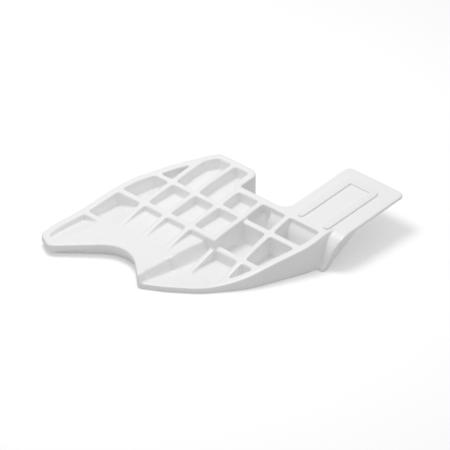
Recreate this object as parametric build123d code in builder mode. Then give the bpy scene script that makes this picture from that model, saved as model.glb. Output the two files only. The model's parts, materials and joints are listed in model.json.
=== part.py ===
"""Transfer board: a hollow one-piece plastic moulding, lying on its sliding face with its ribs up.

X runs towards the tongue, Y towards the horn, Z up. The origin is on the sliding face, below the
middle of the whole outline. The moulding is written as its separate members, which meet face to
face: sliding skin, rim sections, pocket floors, ribs, ramp, tongue and stiffening bead.
"""

import os

from build123d import *

# ---- overall ----
length = 600.0
width = 550.0
across = width / 550.0  # distances that grow with the width are drawn for a board 550 wide
left, right = -length / 2, length / 2
horn_side, tongue_side = width / 2, -width / 2
far = 400.0  # reach of the blocks that members are cut from
tall = 120.0

# ---- walls ----
rim_width = 18.0
rib_width = 14.0
skin_thickness = 4.0
floor_thickness = 5.0
step_thickness = 5.0
tongue_thickness = 8.0

# ---- tongue, wheel notch and horn ----
tongue_length = 207.0
tongue_width = 164.0
notch_width = 135.0
notch_depth = 65.5
root_x = right - tongue_length  # outer face of the wall that the tongue grows from
tongue_left_y = tongue_side + tongue_width
notch_y = tongue_left_y + notch_width
horn_end_x = root_x + notch_depth
notch_fillet = 28.0
ramp_left_y = tongue_left_y + notch_fillet
near_y = tongue_side + 35.0 * across  # outer face of the near rim where it meets the tongue

# ---- ribs: the land's rib is set out from the tip, the last cross rib from the tongue ----
land_rib_x = left + 132.0
root_rib_x = root_x - 78.0
cross_rib_x = [land_rib_x, (land_rib_x + root_rib_x) / 2, root_rib_x]
long_rib_setbacks = [120.0, 187.0, 256.0, 327.0, 406.0]  # from the horn's side
long_rib_y = [horn_side - setback * across for setback in long_rib_setbacks]
land_edge = land_rib_x + rib_width / 2

# ---- heights of the rib tops over the sliding face, as (x, z) ----
root_z = 80.0
root_top_x = root_x - rim_width
tongue_slope = 0.045
beyond_tip = left - 30
high_tops = list(
    zip(
        [beyond_tip, left + 54, *cross_rib_x, root_top_x],
        [26.0, 33.0, 42.0, 63.0, 73.0, root_z],
    )
)
low_tops = list(
    zip(
        [beyond_tip, left + 72, *cross_rib_x, root_top_x],
        [12.0, 14.5, 15.5, 41.0, 66.0, root_z],
    )
)

# ---- pocket floors ----
high_floors = list(zip([land_edge, *cross_rib_x[1:], root_top_x], [41.0, 47.5, 48.5, 54.0]))
low_floor_z = 13.0
ridge_rise = 4.0  # the land's rib and the bay's rim stand this much over the step's slope
land_drop = 1.2  # the smooth land round the bay lies this much under the first cross rib
lap_depth = 10.0  # where ribs cross, the long rib is whole down to this depth

# ---- tongue, ramp and bead ----
tip_radius = 14.0
root_wall = 8.0  # between the last pockets and the ramp
ramp_foot_x = root_x - 44.0
ramp_foot_width = 20.0
ramp_foot_y = tongue_side + 21.0
ramp_bend = 28.0  # how far the tongue's upper face runs down into the ramp, beside the near rim
ramp_end_x = root_x + 44.0
bead_width = 18.0
bead_height = 3.5
bead_left_y = tongue_left_y - 39.0  # centrelines of the bead's two legs
bead_right_y = tongue_side + 52.0
bead_bend = 10.0  # bend radius of the bead's centreline
bead_start_x = root_x + 5.0
bead_end_x = right - 40.0

# ---- bay ----
bay_radius = 80.0
bay_centre_x = left + 7.0
bay_centre_y = horn_side - 181.5 * across

# ---- turned-up edge of the sliding face, round the bay, the tip, the far side and the horn ----
edge_setback = 13.0
edge_rise = 23.0
tip_edge_rise = 8.0
edge_slope = 0.25  # it rises at this slope from the tip, and at wing_edge_slope from the wing
wing_edge_slope = 0.62


def tongue_top(x):
    """Height of the tongue's upper face."""
    return root_z + tongue_slope * (x - root_top_x)


def slope_plane(point, along, rise, steepness):
    """A plane through point that runs along a plan direction, rising by rise, and falls to its right."""
    run = Vector(along[0], along[1], rise).normalized()
    right_hand = Vector(along[1], -along[0], 0).normalized()
    fall = (right_hand + Vector(0, 0, -1) * steepness).normalized()
    return Plane(origin=point, x_dir=run, z_dir=fall.cross(run))


# Plan outline of the body, corner by corner, with each corner's radius.
wing_y = bay_centre_y - 90.5 * across
body_corners = [
    ((root_x - 108, horn_side - 42 * across), 250),
    ((horn_end_x - 20, horn_side - 120 * across), 28),
    ((horn_end_x, horn_side - 135 * across), 14),
    ((horn_end_x, notch_y), 24),
    ((root_x, notch_y), 12),
    ((root_x, near_y), 3),
    ((root_x - 56, near_y + 2 * across), 150),
    ((root_x - 201, near_y + 62 * across), 250),
    ((left + 111.5, near_y + 127 * across), 200),
    ((left + 65.5, bay_centre_y - 143.5 * across), 120),
    ((left + 36.5, wing_y), 10),
    ((left + 113, bay_centre_y - 2.5 * across), bay_radius),
    ((left - 3.85, horn_side - 42 * across), 20),
    ((left + 19, horn_side), 14),
    ((left + 69, horn_side), 200),
]

with BuildLine() as body_line:
    FilletPolyline(
        *[point for point, _ in body_corners],
        radius=[radius for _, radius in body_corners],
        close=True,
    )
with BuildSketch() as body_plan:
    make_face(body_line.edges())
with BuildSketch() as inner_plan:
    make_face(body_line.edges())
    offset(amount=-rim_width, mode=Mode.REPLACE)
with BuildSketch() as rim_plan:
    add(body_plan.sketch)
    add(inner_plan.sketch, mode=Mode.SUBTRACT)

# ---- blocks whose upper faces are the rib tops and the pocket floors ----
step_start = (land_rib_x, horn_side - 280 * across, 46)
step_way = Vector(root_rib_x - land_rib_x, -48.7 * across).normalized()
step_plane = slope_plane(step_start, along=(step_way.X, step_way.Y), rise=0, steepness=1.88)
ridge_plane = step_plane.offset(ridge_rise)
tip_gutter = slope_plane((left + 57, horn_side - rim_width, 20), along=(1, -0.1), rise=0.03, steepness=-0.34)
gutter = slope_plane((land_rib_x, horn_side - 29, 15), along=(0.984, -0.18), rise=0.105, steepness=-0.34)
horn_gutter_start = (root_x - 16, horn_side - 105 * across, 52)
horn_gutter = slope_plane(horn_gutter_start, along=(0.889, -0.457), rise=0, steepness=-0.25)

with BuildPart() as high_block:
    with BuildSketch(Plane.XZ.offset(-far)):
        with BuildLine():
            top = Spline(*high_tops, tangents=[(1, 0.06), (1, tongue_slope)])
            Polyline(top @ 1, (far, tongue_top(far)), (far, 0), (beyond_tip, 0), top @ 0)
        make_face()
    extrude(amount=2 * far)
with BuildPart() as low_block:
    with BuildSketch(Plane.XZ.offset(-far)):
        with BuildLine():
            top = Spline(*low_tops, tangents=[(1, 0.0), (1, 0.12)])
            Polyline(top @ 1, (root_top_x, 0), (beyond_tip, 0), top @ 0)
        make_face()
    extrude(amount=2 * far)

with BuildPart() as high_floor_block:
    with BuildSketch(Plane.XZ.offset(-far)):
        with BuildLine():
            top = Spline(*high_floors)
            Polyline(top @ 1, (far, high_floors[-1][1]), (far, 0), (land_edge, 0), top @ 0)
        make_face()
    extrude(amount=2 * far)

# Beyond the ramp's inner face there is no body, only the ramp itself.
ramp_inner = [(ramp_foot_x, 0), (root_x - 37, 15), (root_x - 20, 57), (root_x, tongue_top(root_x))]
ramp_outer = [(root_x + 17, 46), (root_x - 7, 20)]
with BuildPart() as beyond_ramp:
    with BuildSketch(Plane.XZ.offset(-ramp_left_y)):
        with BuildLine():
            face_line = Spline(*ramp_inner, tangents=[(0, 1), (0.6, 1)])
            Polyline(face_line @ 1, (root_x, tall), (far, tall), (far, 0), face_line @ 0)
        make_face()
    extrude(amount=far)

with BuildPart() as beyond_root_wall:
    with Locations((-root_wall, 0, 0)):
        add(beyond_ramp.part)

# Everything up to the rib tops. They are high on the horn's side. By the land they step down along the
# slope, and from the middle cross rib onwards they drop at the near face of the fourth long rib.
rib_drop_x = cross_rib_x[1] - rib_width / 2
rib_drop_y = long_rib_y[3] - rib_width / 2
with BuildPart() as high_by_land:
    add(high_block.part)
    split(bisect_by=Plane.YZ.offset(rib_drop_x), keep=Keep.BOTTOM)
    split(bisect_by=ridge_plane, keep=Keep.BOTTOM)
with BuildPart() as high_by_ribs:
    add(high_block.part)
    split(bisect_by=Plane.YZ.offset(rib_drop_x), keep=Keep.TOP)
    split(bisect_by=Plane.XZ.offset(-rib_drop_y), keep=Keep.BOTTOM)
with BuildPart() as root_block:
    add(high_block.part)
    split(bisect_by=Plane.YZ.offset(root_top_x), keep=Keep.TOP)
with BuildPart() as envelope:
    add(low_block.part)
    add(high_by_land.part)
    add(high_by_ribs.part)
    add(root_block.part)
    add(beyond_ramp.part, mode=Mode.SUBTRACT)

# Everything up to the upper floor, with its two gutters and the land round the bay.
with BuildPart() as land_block:
    with Locations((0, 0, -land_drop)):
        add(high_block.part)
    split(bisect_by=Plane.YZ.offset(land_edge), keep=Keep.BOTTOM)
    split(bisect_by=tip_gutter, keep=Keep.BOTTOM)
with BuildPart() as upper_block:
    add(high_floor_block.part)
    split(bisect_by=gutter, keep=Keep.BOTTOM)
    split(bisect_by=horn_gutter, keep=Keep.BOTTOM)
    add(land_block.part)
    split(bisect_by=step_plane, keep=Keep.BOTTOM)
with BuildPart() as floor_block:
    add(upper_block.part)
    with BuildSketch():
        Rectangle(2 * far, 2 * far)
    extrude(amount=low_floor_z)

os.makedirs("parts", exist_ok=True)


def write(member, name):
    """Label a finished member and write it as its own file."""
    member.part.label = name
    export_step(member.part, f"parts/{name}.step")


# ---- turned-up edge: the wedge of air under the edge of the sliding face, from wing to horn ----
turned_up = body_line.edges().filter_by(
    lambda edge: edge.center().Y > (notch_y + 1 if edge.center().X > 0 else wing_y)
)
edge_path = Wire(turned_up)
path_start, path_way = edge_path @ 0, edge_path % 0
inwards = Vector(path_way.Y, -path_way.X, 0)
tip_cut = Plane(origin=(left, 0, tip_edge_rise), z_dir=(-edge_slope, 0, 1))
wing_cut = Plane(origin=path_start, z_dir=(0, -wing_edge_slope, 1))
with BuildPart() as edge_relief:
    with BuildSketch(Plane(origin=path_start, x_dir=inwards, z_dir=path_way)):
        with BuildLine():
            Polyline(
                (-1, 1),
                (edge_setback, 1),
                (edge_setback, 0),
                (0, -edge_rise),
                (-1, -edge_rise),
                close=True,
            )
        make_face()
    sweep(path=edge_path)
    split(bisect_by=tip_cut, keep=Keep.BOTTOM)
    split(bisect_by=wing_cut, keep=Keep.BOTTOM)

# ---- sliding skin ----
with BuildPart() as sliding_skin:
    with BuildSketch():
        add(body_plan.sketch)
    extrude(amount=skin_thickness)
    add(edge_relief.part, mode=Mode.SUBTRACT)
    add(beyond_ramp.part, mode=Mode.SUBTRACT)
write(sliding_skin, "sliding_skin")

# ---- root wedge: behind the last pockets the wall leans back with the ramp ----
with BuildPart() as root_wedge:
    with BuildSketch(Plane.XY.offset(skin_thickness)):
        add(inner_plan.sketch)
    extrude(amount=tall)
    add(beyond_root_wall.part, mode=Mode.INTERSECT)
    split(bisect_by=Plane.XZ.offset(-rib_drop_y), keep=Keep.TOP)

# ---- rim, in the sections that its bends divide it into: x from, x to, y from, y to ----
tip_split = left + 41
bay_split = left + 113
front_split = left + 153
middle_split = root_x - 136
rear_split = root_x + 22
bay_top_y = horn_side - 50 * across
horn_split_y = horn_side - 180 * across
bay_middle_y = horn_side - 160 * across
wing_top_y = bay_centre_y - 78.5 * across
wing_split_y = wing_top_y - 45 * across
rim_sections = {
    "tip_rim": (left, tip_split, bay_middle_y, horn_side),
    "side_rim_front": (tip_split, front_split, bay_top_y, horn_side),
    "side_rim_middle": (front_split, middle_split, wing_split_y, horn_side),
    "side_rim_rear": (middle_split, rear_split, notch_y + rim_width, horn_side),
    "horn_corner_rim": (rear_split, horn_end_x, horn_split_y, horn_side),
    "horn_end_rim": (rear_split, horn_end_x, notch_y, horn_split_y),
    "notch_side_rim": (root_top_x, rear_split, notch_y, notch_y + rim_width),
    "notch_base_rim": (root_top_x, root_x, ramp_left_y, notch_y),
    "tongue_root_rim": (root_top_x, root_x, tongue_side, ramp_left_y),
    "near_rim_rear": (middle_split, root_top_x, tongue_side, notch_y),
    "near_rim_middle": (front_split, middle_split, tongue_side, wing_split_y),
    "near_rim_front": (left, front_split, tongue_side, wing_split_y),
    "wing_tip_rim": (left, bay_split, wing_split_y, wing_top_y),
    "bay_rim_near": (tip_split, bay_split, wing_top_y, bay_middle_y),
    "bay_rim_far": (tip_split, bay_split, bay_middle_y, bay_top_y),
}
for name, (x_from, x_to, y_from, y_to) in rim_sections.items():
    with BuildPart() as rim_section:
        with BuildSketch(Plane.XY.offset(skin_thickness)):
            with Locations(((x_from + x_to) / 2, (y_from + y_to) / 2)):
                Rectangle(x_to - x_from, y_to - y_from)
            add(rim_plan.sketch, mode=Mode.INTERSECT)
        extrude(amount=tall)
        if name == "tongue_root_rim":
            add(root_wedge.part)
        add(envelope.part, mode=Mode.INTERSECT)
        add(edge_relief.part, mode=Mode.SUBTRACT)
    write(rim_section, name)

# ---- pocket floors and the step between them ----
with BuildPart() as inside:
    with BuildSketch(Plane.XY.offset(skin_thickness)):
        add(inner_plan.sketch)
    extrude(amount=tall)
    add(root_wedge.part, mode=Mode.SUBTRACT)
    add(beyond_ramp.part, mode=Mode.SUBTRACT)
with BuildPart() as upper_floor:
    add(upper_block.part)
    with Locations((0, 0, -floor_thickness)):
        add(upper_block.part, mode=Mode.SUBTRACT)
    add(inside.part, mode=Mode.INTERSECT)
write(upper_floor, "upper_floor")
with BuildPart() as step_wall:
    with Locations((0, 0, -floor_thickness)):
        add(upper_block.part)
    split(bisect_by=step_plane, keep=Keep.BOTTOM)
    split(bisect_by=step_plane.offset(-step_thickness), keep=Keep.TOP)
    add(inside.part, mode=Mode.INTERSECT)
write(step_wall, "step_wall")
with BuildPart() as lower_floor:
    with BuildSketch(Plane.XY.offset(skin_thickness)):
        add(inner_plan.sketch)
    extrude(amount=low_floor_z - skin_thickness)
    split(bisect_by=step_plane, keep=Keep.TOP)
    add(root_wedge.part, mode=Mode.SUBTRACT)
    add(beyond_ramp.part, mode=Mode.SUBTRACT)
write(lower_floor, "lower_floor")

# ---- ribs: long ribs run towards the tongue, cross ribs across, lapped where they cross ----
with BuildPart() as rib_space:
    add(envelope.part)
    add(inside.part, mode=Mode.INTERSECT)
    add(floor_block.part, mode=Mode.SUBTRACT)


def crossing(x, y):
    """The two halves of the column where a cross rib passes a long rib: below the lap, above it."""
    with BuildSketch(mode=Mode.PRIVATE) as square:
        with Locations((x, y)):
            Rectangle(rib_width, rib_width)
    with BuildPart(mode=Mode.PRIVATE) as surroundings:
        with BuildSketch():
            with Locations((x, y)):
                Rectangle(rib_width + 2, rib_width + 2)
        extrude(amount=tall)
        add(envelope.part, mode=Mode.INTERSECT)
    tops = surroundings.faces().filter_by(lambda face: face.normal_at().Z > 0.7)
    lap_plane = Plane.XY.offset(min(top.bounding_box().max.Z for top in tops) - lap_depth)
    with BuildPart(mode=Mode.PRIVATE) as whole:
        add(square.sketch)
        extrude(amount=tall)
    return whole.part.split(lap_plane, keep=Keep.BOTTOM), whole.part.split(lap_plane, keep=Keep.TOP)


crossings = {(x, y): crossing(x, y) for x in cross_rib_x[1:] for y in long_rib_y}

for number, x in enumerate(cross_rib_x, start=1):
    with BuildPart() as cross_rib:
        with BuildSketch():
            with Locations((x, 0)):
                Rectangle(rib_width, 2 * far)
        extrude(amount=tall)
        add(rib_space.part, mode=Mode.INTERSECT)
        for (cross_x, _), (_, above_lap) in crossings.items():
            if cross_x == x:
                add(above_lap, mode=Mode.SUBTRACT)
    write(cross_rib, f"cross_rib_{number}")
for number, y in enumerate(long_rib_y, start=1):
    with BuildPart() as long_rib:
        with BuildSketch():
            with Locations(((land_edge + far) / 2, y)):
                Rectangle(far - land_edge, rib_width)
        extrude(amount=tall)
        add(rib_space.part, mode=Mode.INTERSECT)
        for (_, long_y), (below_lap, _) in crossings.items():
            if long_y == y:
                add(below_lap, mode=Mode.SUBTRACT)
    write(long_rib, f"long_rib_{number}")

# ---- plan of the ramp and the tongue, with the fillet that closes the wheel notch ----
with BuildSketch() as tongue_plan:
    with BuildLine():
        notch_line = Line((0, ramp_left_y), (root_x, ramp_left_y))
        corner = (root_x + notch_fillet, tongue_left_y)
        notch_arc = TangentArc(notch_line @ 1, corner, tangent=(0, -1))
        Polyline(
            notch_arc @ 1,
            (right, tongue_left_y),
            (right, tongue_side),
            (0, tongue_side),
            notch_line @ 0,
        )
    make_face()
    fillet(tongue_plan.vertices().group_by(Axis.X)[-1], radius=tip_radius)
with BuildPart() as tongue_column:
    add(tongue_plan.sketch)
    extrude(amount=tall)

# ---- ramp: rises from the sliding face to the tongue, and stands proud of the near rim ----
with BuildPart() as over_bend:
    with BuildSketch(Plane.XZ.offset(-near_y)):
        with BuildLine():
            face_line = Spline(*ramp_inner, tangents=[(0, 1), (0.6, 1)], mode=Mode.PRIVATE)
            bend_end = (root_x + ramp_bend, tongue_top(root_x + ramp_bend))
            bend = Spline(face_line @ 0.7, bend_end, tangents=[face_line % 0.7, (1, tongue_slope)])
            Polyline(bend @ 1, (root_x + ramp_bend, tall), (ramp_foot_x, tall), bend @ 0)
        make_face()
    extrude(amount=near_y - tongue_side)
underside = tongue_top(ramp_end_x) - tongue_thickness
flare_rise = underside / (ramp_foot_y - tongue_side)
with BuildPart() as ramp:
    with BuildSketch(Plane.XZ.offset(-ramp_left_y)):
        with BuildLine():
            inner_face = Spline(*ramp_inner, tangents=[(0, 1), (0.6, 1)])
            top_face = Line(inner_face @ 1, (ramp_end_x, tongue_top(ramp_end_x)))
            end_face = Line(top_face @ 1, (ramp_end_x, underside))
            outer_face = Spline(
                end_face @ 1,
                *ramp_outer,
                (ramp_foot_x + ramp_foot_width, 0),
                tangents=[(-1, -1), (-0.85, -1)],
            )
            Line(outer_face @ 1, inner_face @ 0)
        make_face()
    extrude(amount=ramp_left_y - tongue_side)
    add(tongue_column.part, mode=Mode.INTERSECT)
    add(over_bend.part, mode=Mode.SUBTRACT)
    flare = Plane(origin=(0, ramp_foot_y, 0), x_dir=(1, 0, 0), z_dir=(0, -flare_rise, -1))
    split(bisect_by=flare, keep=Keep.BOTTOM)
write(ramp, "ramp")

# ---- tongue and its stiffening bead ----
with BuildPart() as tongue_plate:
    with BuildSketch(Plane.XZ.offset(-tongue_left_y)):
        with BuildLine():
            Polyline(
                (ramp_end_x, tongue_top(ramp_end_x)),
                (right, tongue_top(right)),
                (right, tongue_top(right) - tongue_thickness),
                (ramp_end_x, underside),
                close=True,
            )
        make_face()
    extrude(amount=tongue_left_y - tongue_side)
    add(tongue_column.part, mode=Mode.INTERSECT)
write(tongue_plate, "tongue_plate")
tongue_face = Plane(origin=(root_top_x, 0, root_z), z_dir=(-tongue_slope, 0, 1))
with BuildPart() as tongue_bead:
    with BuildSketch(tongue_face):
        with BuildLine():
            FilletPolyline(
                (bead_start_x - root_top_x, bead_left_y),
                (bead_end_x - root_top_x, bead_left_y),
                (bead_end_x - root_top_x, bead_right_y),
                (bead_start_x - root_top_x, bead_right_y),
                radius=bead_bend,
            )
            offset(amount=bead_width / 2, side=Side.BOTH)
        make_face()
    extrude(amount=bead_height)
write(tongue_bead, "tongue_bead")
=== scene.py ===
import json
import math

import bmesh
import bpy
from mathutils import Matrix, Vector


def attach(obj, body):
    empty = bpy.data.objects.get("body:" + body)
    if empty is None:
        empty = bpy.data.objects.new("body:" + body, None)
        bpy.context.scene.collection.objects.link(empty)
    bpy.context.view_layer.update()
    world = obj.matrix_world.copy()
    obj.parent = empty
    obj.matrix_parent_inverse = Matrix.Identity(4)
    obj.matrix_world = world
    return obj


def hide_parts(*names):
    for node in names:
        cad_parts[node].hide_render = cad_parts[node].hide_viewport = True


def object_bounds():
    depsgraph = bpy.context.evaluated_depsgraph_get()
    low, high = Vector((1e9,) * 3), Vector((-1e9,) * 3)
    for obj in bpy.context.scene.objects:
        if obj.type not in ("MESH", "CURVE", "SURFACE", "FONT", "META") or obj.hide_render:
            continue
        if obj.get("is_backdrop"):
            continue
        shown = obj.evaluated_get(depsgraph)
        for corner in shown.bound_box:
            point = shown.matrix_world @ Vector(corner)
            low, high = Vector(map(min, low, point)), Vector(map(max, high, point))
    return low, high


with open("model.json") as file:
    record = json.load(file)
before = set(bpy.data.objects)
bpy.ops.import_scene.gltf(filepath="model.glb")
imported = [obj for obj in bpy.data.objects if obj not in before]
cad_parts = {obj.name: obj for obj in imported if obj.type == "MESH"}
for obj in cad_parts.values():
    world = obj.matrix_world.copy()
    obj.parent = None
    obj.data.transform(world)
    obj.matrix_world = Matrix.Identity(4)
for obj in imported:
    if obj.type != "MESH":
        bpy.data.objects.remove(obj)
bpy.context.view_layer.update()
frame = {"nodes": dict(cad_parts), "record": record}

# ---- the moulding ----
# Rims, ribs, pocket floors, step, ramp and tongue are one hollow moulding of white polyethylene. They
# run into each other through soft fillets, and every edge that a hand meets is rounded over. The
# mould leaves a fine stipple on the ribbed side, and use leaves long scuffs on the sliding face.
grain = 0.002  # spacing of the moulding's surface mesh
rounding_passes = 12
polyethylene = (0.93, 0.93, 0.935, 1)
moulding_members = sorted(set(frame["nodes"]) - {"tongue_bead"})


def joined(names, label):
    """One object that holds copies of the named members' surfaces."""
    surface = bmesh.new()
    for name in names:
        surface.from_mesh(frame["nodes"][name].data)
    mesh = bpy.data.meshes.new(label)
    surface.to_mesh(mesh)
    surface.free()
    piece = bpy.data.objects.new(label, mesh)
    bpy.context.scene.collection.objects.link(piece)
    return piece


def apply_modifiers(piece):
    """Replace the piece's mesh by what its modifiers make of it."""
    seen = piece.evaluated_get(bpy.context.evaluated_depsgraph_get())
    mesh = bpy.data.meshes.new_from_object(seen)
    piece.modifiers.clear()
    piece.data = mesh
    mesh.name = piece.name


def keep_outer_skin(piece):
    """Delete every closed surface that lies inside the outermost one."""
    surface = bmesh.new()
    surface.from_mesh(piece.data)
    surface.verts.ensure_lookup_table()
    seen = set()
    skins = []
    for start in surface.verts:
        if start.index in seen:
            continue
        seen.add(start.index)
        skin = [start]
        for vert in skin:
            for edge in vert.link_edges:
                other = edge.other_vert(vert)
                if other.index not in seen:
                    seen.add(other.index)
                    skin.append(other)
        skins.append(skin)
    outer = max(skins, key=len)
    for skin in skins:
        if skin is not outer:
            bmesh.ops.delete(surface, geom=skin, context="VERTS")
    surface.to_mesh(piece.data)
    surface.free()


def new_effect(name, inputs, outputs):
    """An empty node group with number inputs (name: usual value) and number outputs."""
    effect = bpy.data.node_groups.new(name, "ShaderNodeTree")
    for label, usual in inputs.items():
        socket = effect.interface.new_socket(label, in_out="INPUT", socket_type="NodeSocketFloat")
        socket.default_value = usual
    for label in outputs:
        effect.interface.new_socket(label, in_out="OUTPUT", socket_type="NodeSocketFloat")
    return effect, effect.nodes.new("NodeGroupInput"), effect.nodes.new("NodeGroupOutput")


def noise(tree, coordinates, scale, detail=2.0, roughness=0.5):
    """A noise texture on the given coordinates."""
    texture = tree.nodes.new("ShaderNodeTexNoise")
    texture.inputs["Scale"].default_value = scale
    texture.inputs["Detail"].default_value = detail
    texture.inputs["Roughness"].default_value = roughness
    tree.links.new(coordinates, texture.inputs["Vector"])
    return texture.outputs["Fac"]


def reckon(tree, operation, first, second=0.0, third=0.0):
    """The result of one Math node. Each argument is a number or a socket."""
    step = tree.nodes.new("ShaderNodeMath")
    step.operation = operation
    for socket, argument in zip(step.inputs, (first, second, third)):
        if isinstance(argument, (int, float)):
            socket.default_value = argument
        else:
            tree.links.new(argument, socket)
    return step.outputs["Value"]


def ramp_between(tree, value, low, high):
    """0 below low, 1 above high, and straight between them."""
    spread = tree.nodes.new("ShaderNodeMapRange")
    spread.inputs["From Min"].default_value = low
    spread.inputs["From Max"].default_value = high
    tree.links.new(value, spread.inputs["Value"])
    return spread.outputs["Result"]


# The mould's surface: a stipple finer than a millimetre over a slow unevenness, as hot sheet takes it.
mould_finish, finish_in, finish_out = new_effect(
    "mould_finish", {"Stipple": 1.0, "Unevenness": 1.0}, ["Height", "Gloss Change", "Tone Change"]
)
where = mould_finish.nodes.new("ShaderNodeTexCoord").outputs["Object"]
stipple = noise(mould_finish, where, 900.0)
unevenness = noise(mould_finish, where, 22.0, detail=1.0)
cloud = noise(mould_finish, where, 7.0, detail=3.0)
stipple_height = reckon(mould_finish, "MULTIPLY", stipple, finish_in.outputs["Stipple"])
uneven_height = reckon(mould_finish, "MULTIPLY", unevenness, finish_in.outputs["Unevenness"])
height = reckon(mould_finish, "MULTIPLY_ADD", uneven_height, 6.0, stipple_height)
mould_finish.links.new(height, finish_out.inputs["Height"])
gloss_change = reckon(mould_finish, "MULTIPLY_ADD", stipple, 0.10, -0.05)
gloss_change = reckon(mould_finish, "MULTIPLY_ADD", cloud, 0.10, gloss_change)
mould_finish.links.new(gloss_change, finish_out.inputs["Gloss Change"])
tone_change = reckon(mould_finish, "SUBTRACT", cloud, 0.5)
mould_finish.links.new(tone_change, finish_out.inputs["Tone Change"])

# Use: long scuffs in the direction of sliding on what faces down, and edges polished by hands.
signs_of_use, use_in, use_out = new_effect(
    "signs_of_use", {"Scuffing": 1.0, "Edge Rub": 1.0}, ["Scuffs", "Rubbed Edges"]
)
where = signs_of_use.nodes.new("ShaderNodeTexCoord").outputs["Object"]
lie = signs_of_use.nodes.new("ShaderNodeNewGeometry")
facing = signs_of_use.nodes.new("ShaderNodeSeparateXYZ")
signs_of_use.links.new(lie.outputs["Normal"], facing.inputs["Vector"])
downwards = reckon(signs_of_use, "MULTIPLY", facing.outputs["Z"], -1.0)
underneath = ramp_between(signs_of_use, downwards, 0.6, 0.95)
stretch = signs_of_use.nodes.new("ShaderNodeMapping")
stretch.inputs["Rotation"].default_value = (0, 0, math.radians(12))
stretch.inputs["Scale"].default_value = (30.0, 2.0, 30.0)
signs_of_use.links.new(where, stretch.inputs["Vector"])
streaks = noise(signs_of_use, stretch.outputs["Vector"], 9.0, detail=4.0, roughness=0.7)
patches = ramp_between(signs_of_use, noise(signs_of_use, where, 9.0), 0.4, 0.62)
scuffs = reckon(signs_of_use, "MULTIPLY", ramp_between(signs_of_use, streaks, 0.56, 0.68), patches)
scuffs = reckon(signs_of_use, "MULTIPLY", scuffs, underneath)
scuffs = reckon(signs_of_use, "MULTIPLY", scuffs, use_in.outputs["Scuffing"])
signs_of_use.links.new(scuffs, use_out.inputs["Scuffs"])
edges = ramp_between(signs_of_use, lie.outputs["Pointiness"], 0.515, 0.56)
edges = reckon(signs_of_use, "MULTIPLY", edges, noise(signs_of_use, where, 60.0, detail=3.0))
edges = reckon(signs_of_use, "MULTIPLY", edges, use_in.outputs["Edge Rub"])
signs_of_use.links.new(edges, use_out.inputs["Rubbed Edges"])


def white_plastic(name, stipple, scuffing, edge_rub):
    """White moulded polyethylene with so much stipple, scuffing and rubbed edge."""
    plastic = bpy.data.materials.new(name)
    plastic.use_nodes = True
    tree = plastic.node_tree
    shader = tree.nodes["Principled BSDF"]
    shader.inputs["IOR"].default_value = 1.5
    finish = tree.nodes.new("ShaderNodeGroup")
    finish.node_tree = mould_finish
    finish.inputs["Stipple"].default_value = stipple
    use = tree.nodes.new("ShaderNodeGroup")
    use.node_tree = signs_of_use
    use.inputs["Scuffing"].default_value = scuffing
    use.inputs["Edge Rub"].default_value = edge_rub
    # Colour: a faint cloudiness, and greyer in the scuffs.
    tone = reckon(tree, "MULTIPLY_ADD", finish.outputs["Tone Change"], 0.03, 1.0)
    tone = reckon(tree, "MULTIPLY_ADD", use.outputs["Scuffs"], -0.09, tone)
    tone = reckon(tree, "MULTIPLY_ADD", use.outputs["Rubbed Edges"], -0.02, tone)
    colour = tree.nodes.new("ShaderNodeVectorMath")
    colour.operation = "SCALE"
    colour.inputs[0].default_value = polyethylene[:3]
    tree.links.new(tone, colour.inputs["Scale"])
    tree.links.new(colour.outputs["Vector"], shader.inputs["Base Color"])
    # Gloss: satin, polished where hands rub the edges, dull in the scuffs.
    dullness = reckon(tree, "ADD", finish.outputs["Gloss Change"], 0.22)
    dullness = reckon(tree, "MULTIPLY_ADD", use.outputs["Scuffs"], 0.3, dullness)
    dullness = reckon(tree, "MULTIPLY_ADD", use.outputs["Rubbed Edges"], -0.06, dullness)
    tree.links.new(dullness, shader.inputs["Roughness"])
    relief = reckon(tree, "MULTIPLY_ADD", use.outputs["Scuffs"], -1.5, finish.outputs["Height"])
    bump = tree.nodes.new("ShaderNodeBump")
    bump.inputs["Strength"].default_value = 0.35
    bump.inputs["Distance"].default_value = 0.00006
    tree.links.new(relief, bump.inputs["Height"])
    tree.links.new(bump.outputs["Normal"], shader.inputs["Normal"])
    return plastic


moulding = joined(moulding_members, "board_moulding")
skin = moulding.modifiers.new("skin", "REMESH")
skin.mode = "VOXEL"
skin.voxel_size = grain
skin.use_smooth_shade = True
apply_modifiers(moulding)
keep_outer_skin(moulding)
rounding = moulding.modifiers.new("rounding", "SMOOTH")
rounding.factor = 0.5
rounding.iterations = rounding_passes
apply_modifiers(moulding)
moulding.data.shade_smooth()
moulding.data.materials.clear()
moulding_plastic = white_plastic("white_moulded_plastic", stipple=1.0, scuffing=1.0, edge_rub=1.0)
moulding.data.materials.append(moulding_plastic)
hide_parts(*moulding_members)
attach(moulding, "root")

# ---- the stiffening bead ----
# A raised bead in the shape of a long U stiffens the tongue and grips the seat. It belongs to the same
# white moulding, and the line where it leaves the tongue is crisp. Its mesh reaches down into the
# tongue, so no gap shows under it.
bead_root = 0.004
below_top = 0.001  # what lies deeper than this under the bead's top is its foot
sharp_edge = math.radians(30)
bead = joined(["tongue_bead"], "tongue_bead_ridge")
mounts = {mount["name"]: mount for mount in frame["record"]["mounts"]}
bead_axis = Vector(mounts["bead_face"]["axis"])
bead_top = max(bead_axis.dot(vert.co) for vert in bead.data.vertices)
for vert in bead.data.vertices:
    if bead_axis.dot(vert.co) < bead_top - below_top:
        vert.co -= bead_axis * bead_root
bead_surface = bmesh.new()
bead_surface.from_mesh(bead.data)
bmesh.ops.remove_doubles(bead_surface, verts=bead_surface.verts, dist=1e-6)
for edge in bead_surface.edges:
    edge.smooth = edge.calc_face_angle() < sharp_edge
bead_surface.to_mesh(bead.data)
bead_surface.free()
bead.data.attributes.remove(bead.data.attributes["custom_normal"])
bead.data.shade_smooth()
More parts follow.
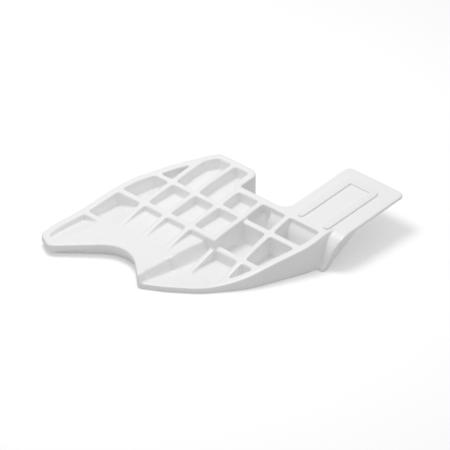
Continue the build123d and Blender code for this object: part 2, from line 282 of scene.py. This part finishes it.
bead.data.materials.clear()
bead_plastic = white_plastic("white_bead_plastic", stipple=0.6, scuffing=0.0, edge_rub=1.5)
bead.data.materials.append(bead_plastic)
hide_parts("tongue_bead")
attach(bead, "root")

# ---- floor ----
# A plain white ground, far wider than the board. It throws back less light than it shows.
floor_mesh = bpy.data.meshes.new("floor")
reach = 6.0
floor_mesh.from_pydata(
    [(-reach, -reach, 0), (reach, -reach, 0), (reach, reach, 0), (-reach, reach, 0)], [], [(0, 1, 2, 3)]
)
floor = bpy.data.objects.new("floor", floor_mesh)
bpy.context.scene.collection.objects.link(floor)
paper = bpy.data.materials.new("white_paper")
paper.use_nodes = True
paper_shader = paper.node_tree.nodes["Principled BSDF"]
paper_shader.inputs["Roughness"].default_value = 0.9
paper_shader.inputs["Emission Color"].default_value = (1, 1, 1, 1)
paper_shader.inputs["Emission Strength"].default_value = 0.16
seen_directly = paper.node_tree.nodes.new("ShaderNodeLightPath")
whiteness = paper.node_tree.nodes.new("ShaderNodeMix")
whiteness.data_type = "RGBA"
whiteness.inputs["A"].default_value = (0.5, 0.5, 0.5, 1)
whiteness.inputs["B"].default_value = (0.98, 0.98, 0.98, 1)
paper.node_tree.links.new(seen_directly.outputs["Is Camera Ray"], whiteness.inputs["Factor"])
paper.node_tree.links.new(whiteness.outputs["Result"], paper_shader.inputs["Base Color"])
floor_mesh.materials.append(paper)
floor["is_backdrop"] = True

# ---- light ----
# A broad soft box hangs almost overhead, a little to the left of the camera's view, in a white room.
azimuth, elevation = math.radians(-48), math.radians(34.2)
right_way = Vector((math.cos(azimuth), math.sin(azimuth), 0))
towards_view = Vector((-math.sin(azimuth), math.cos(azimuth), 0))
lowest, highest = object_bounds()
middle = (lowest + highest) / 2
key_data = bpy.data.lights.new("soft_box", "AREA")
key_data.shape = "DISK"
key_data.size = 0.9
key_data.energy = 14
key = bpy.data.objects.new("soft_box", key_data)
key.location = middle + (Vector((0, 0, 1)) - right_way * 0.2 + towards_view * 0.1).normalized() * 2.0
key.rotation_mode = "QUATERNION"
key.rotation_quaternion = (key.location - middle).to_track_quat("Z", "Y")
bpy.context.scene.collection.objects.link(key)
room = bpy.data.worlds.new("room")
room.use_nodes = True
backdrop = room.node_tree.nodes["Background"]
backdrop.inputs["Color"].default_value = (1, 1, 1, 1)
direction = room.node_tree.nodes.new("ShaderNodeTexCoord")
height = room.node_tree.nodes.new("ShaderNodeSeparateXYZ")
glow = room.node_tree.nodes.new("ShaderNodeMapRange")
glow.inputs["From Min"].default_value = 0.0
glow.inputs["From Max"].default_value = 1.0
glow.inputs["To Min"].default_value = 0.36
glow.inputs["To Max"].default_value = 0.75
room.node_tree.links.new(direction.outputs["Generated"], height.inputs["Vector"])
room.node_tree.links.new(height.outputs["Z"], glow.inputs["Value"])
room.node_tree.links.new(glow.outputs["Result"], backdrop.inputs["Strength"])
bpy.context.scene.world = room
bpy.context.scene.view_settings.view_transform = "Standard"

# ---- camera ----
# A long lens looks down at the board's near right-hand side.
view_target = Vector((0.0448, 0.0262, 0))
view_width = 0.99
view_distance = 12.0
towards = towards_view * math.cos(elevation) - Vector((0, 0, math.sin(elevation)))
camera_data = bpy.data.cameras.new("camera")
camera_data.sensor_width = 36
camera_data.lens = camera_data.sensor_width * view_distance / view_width
camera = bpy.data.objects.new("camera", camera_data)
camera.location = view_target - towards * view_distance
camera.rotation_mode = "QUATERNION"
camera.rotation_quaternion = towards.to_track_quat("-Z", "Y")
bpy.context.scene.collection.objects.link(camera)
bpy.context.scene.camera = camera
